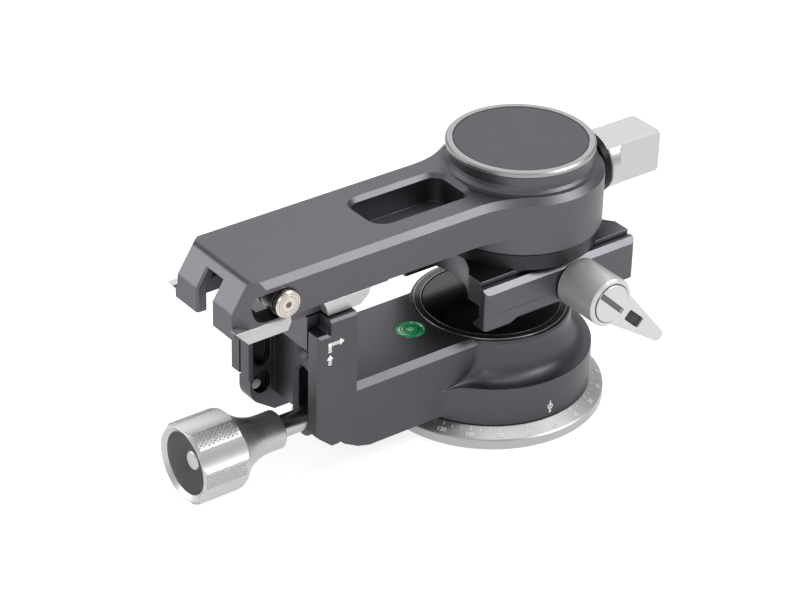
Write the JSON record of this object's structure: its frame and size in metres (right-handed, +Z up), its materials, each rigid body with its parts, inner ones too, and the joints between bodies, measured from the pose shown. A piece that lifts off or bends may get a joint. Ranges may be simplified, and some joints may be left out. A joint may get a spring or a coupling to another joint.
{
  "type": "gimbal tripod head",
  "caption": "Folding gimbal tripod head with a panning base, a swing arm folded on its base arm, and a tilting quick-release clamp.",
  "frame": {"origin": "centre of the tripod mounting face at the bottom of the base", "axes": "+Z up along the pan axis, +Y across the arms, +X along the swing arm towards its hub"},
  "size_m": [0.1668, 0.0731, 0.0821],
  "materials": {
    "body": "satin anodised",
    "disc": "satin",
    "silver": "satin turned",
    "dial": "bead blasted",
    "steel": "machined",
    "clamp": "satin anodised",
    "bubble": "clear green",
    "brass": "machined"
  },
  "bodies": {
    "base": {"base_plate": "body", "tripod_bushing": "steel", "dial_ring": "dial", "pan_spindle": "steel", "pan_retainer": "steel", "base_screw_1": "steel", "base_screw_2": "steel", "base_screw_3": "steel", "base_screw_4": "steel"},
    "pan_body": {"base_arm": "body", "pan_bearing_lower": "steel", "pan_bearing_upper": "steel", "pan_cap_ring": "body", "pan_cap_disc": "disc", "bubble_level": "bubble", "stop_pin": "steel", "arm_link": "body", "pan_brake_shoe": "brass"},
    "arm_lock": {"arm_lock_knob": "silver", "arm_lock_stud": "steel"},
    "pan_lock": {"pan_lock_knob": "silver", "pan_lock_stud": "steel"},
    "pivot": {"pivot_pin": "steel", "pivot_head_near": "steel", "pivot_head_far": "steel", "slide_block_near": "brass", "slide_block_far": "brass"},
    "swing": {"swing_arm": "body", "front_rail_near": "silver", "front_rail_far": "silver", "rear_rail_near": "silver", "rear_rail_far": "silver", "tilt_bearing_lower": "steel", "tilt_bearing_upper": "steel", "tilt_cap_ring": "silver", "tilt_cap_disc": "disc", "tilt_brake_shoe": "brass"},
    "tilt_lock": {"tilt_lock_collar": "disc", "tilt_lock_wing": "silver", "tilt_lock_stud": "steel"},
    "clamp": {"tilt_spindle": "steel", "tilt_retainer": "steel", "rotor_flange": "clamp", "clamp_body": "clamp", "fixed_jaw": "clamp"},
    "jaw": {"sliding_jaw": "clamp", "guide_pin_1": "steel", "guide_pin_2": "steel"},
    "lever": {"lever_barrel": "silver", "lever_screw": "steel", "clamp_stud": "steel"}
  },
  "joints": [
    {"name": "pan", "type": "hinge", "parent": "base", "child": "pan_body", "pos_m": [0, 0, 0], "axis": [0, 0, 1], "continuous": true},
    {"name": "arm_lock_turn", "type": "hinge", "parent": "pan_body", "child": "arm_lock", "pos_m": [-0.077, 0, 0.0135], "axis": [1, 0, 0], "continuous": true},
    {"name": "pan_lock_turn", "type": "hinge", "parent": "pan_body", "child": "pan_lock", "pos_m": [0, 0, 0.0162], "axis": [0.866, 0.5, 0], "continuous": true},
    {"name": "fold", "type": "hinge", "parent": "pan_body", "child": "pivot", "pos_m": [-0.0859, 0, 0.0674], "axis": [0, -1, 0], "range_deg": [0, 90]},
    {"name": "arm_slide", "type": "slide", "parent": "pivot", "child": "swing", "axis": [1, 0, 0], "range_m": [0, 0.0058]},
    {"name": "tilt", "type": "hinge", "parent": "swing", "child": "clamp", "pos_m": [0.0088, 0, 0.0515], "axis": [0, 0, 1], "range_deg": [-70, 190]},
    {"name": "tilt_lock_turn", "type": "hinge", "parent": "swing", "child": "tilt_lock", "pos_m": [0.034, 0, 0.066], "axis": [1, 0, 0], "continuous": true},
    {"name": "jaw_slide", "type": "slide", "parent": "clamp", "child": "jaw", "axis": [0, -1, 0], "range_m": [0, 0.0025]},
    {"name": "lever_turn", "type": "hinge", "parent": "jaw", "child": "lever", "pos_m": [0.0144, -0.0376, 0.0428], "axis": [0, -1, 0], "range_deg": [0, 720]}
  ],
  "couplings": [
    {"joint": "lever_turn", "follows": "jaw_slide", "rad_per_m": 5026.5}
  ]
}
